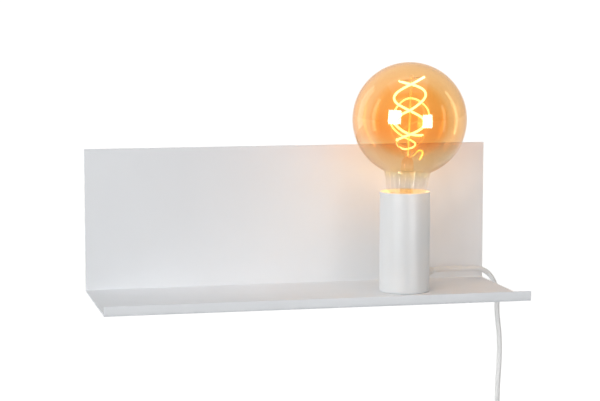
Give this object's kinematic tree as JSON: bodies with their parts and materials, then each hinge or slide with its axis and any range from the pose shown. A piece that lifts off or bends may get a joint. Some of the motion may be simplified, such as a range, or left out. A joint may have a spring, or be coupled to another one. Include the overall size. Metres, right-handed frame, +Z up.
{
  "type": "wall lamp with shelf",
  "caption": "Wall lamp made of a folded steel shelf with a round cup holding a screw-in globe lamp, hung on a wall rail, with a switched mains cord and plug",
  "frame": {"origin": "on the wall plane, midway between the two wall slots of the hanging rail", "axes": "+Z up, +X to the right for someone facing the lamp, -Y out into the room; the wall is the plane Y = 0"},
  "size_m": [0.3929, 0.1336, 0.5164],
  "materials": {
    "white_powder_coat": "matte powder coat",
    "cup_powder_coat": "satin powder coat",
    "zinc_steel": "zinc plated",
    "screw_steel": "zinc plated",
    "bumper_rubber": "matte",
    "holder_plastic": "moulded",
    "holder_ceramic": "glazed",
    "brass": "plain",
    "nickel": "nickel plated",
    "insulator_glass": "black vitrite",
    "solder": "dull tin",
    "amber_glass": "amber coated inside, clear neck",
    "clear_glass": "clear",
    "cement": "plain",
    "filament": "lit phosphor strip",
    "lead_wire": "plain",
    "circuit_board": "board",
    "white_rubber": "satin",
    "cord_white": "satin sheath",
    "lead_brown": "insulation",
    "lead_blue": "insulation",
    "switch_white": "moulded",
    "plug_white": "moulded",
    "plug_sleeve": "moulded",
    "tie_fabric": "hook-and-loop"
  },
  "bodies": {
    "lamp": {"shelf_bracket": "white_powder_coat", "wall_rail": "zinc_steel", "lamp_rail": "white_powder_coat", "rear_bumpers": "bumper_rubber", "lamp_cup": "cup_powder_coat", "holder_bridge": "zinc_steel", "bridge_screws": "screw_steel", "bridge_nuts": "screw_steel", "entry_nipple": "zinc_steel", "entry_nut": "screw_steel", "toothed_washer": "screw_steel", "holder_cap": "holder_plastic", "holder_skirt": "holder_plastic", "holder_insert": "holder_ceramic", "terminal_screws": "brass", "screw_shell": "brass", "centre_contact": "brass", "strain_relief": "white_rubber", "cord_inlet": "cord_white", "cord_clip": "zinc_steel", "lead_brown": "lead_brown", "lead_blue": "lead_blue", "cord_hanging": "cord_white", "switch_base": "switch_white", "switch_cover": "switch_white", "rocker_axle": "zinc_steel", "switch_screws": "screw_steel", "switch_terminals": "brass", "cord_coil": "cord_white", "cord_to_coil": "cord_white", "cord_tail": "cord_white", "coil_tie": "tie_fabric", "plug_relief": "white_rubber", "plug_body": "plug_white", "plug_pins": "nickel", "plug_sleeves": "plug_sleeve"},
    "bulb_carrier": {"bulb_insulator": "insulator_glass", "bulb_contact": "solder"},
    "bulb": {"bulb_cap": "nickel", "bulb_glass": "amber_glass", "cap_cement": "cement", "bulb_stem": "clear_glass", "support_rod": "clear_glass", "lead_wires": "lead_wire", "led_filaments": "filament", "driver_board": "circuit_board"},
    "rocker": {"switch_rocker": "switch_white"}
  },
  "joints": [
    {"name": "bulb_lift", "type": "slide", "parent": "lamp", "child": "bulb_carrier", "axis": [0, 0, 1], "range_m": [0, 0.01815]},
    {"name": "bulb_turn", "type": "hinge", "parent": "bulb_carrier", "child": "bulb", "pos_m": [0.086, -0.0678, -0.02], "axis": [0, 0, 1], "range_deg": [0, 1800]},
    {"name": "switch_rock", "type": "hinge", "parent": "lamp", "child": "rocker", "pos_m": [0.1856, -0.024, -0.22], "axis": [-1, 0, 0], "range_deg": [0, 16]}
  ],
  "couplings": [
    {"joint": "bulb_lift", "follows": "bulb_turn", "m_per_rad": 0.00057757}
  ]
}
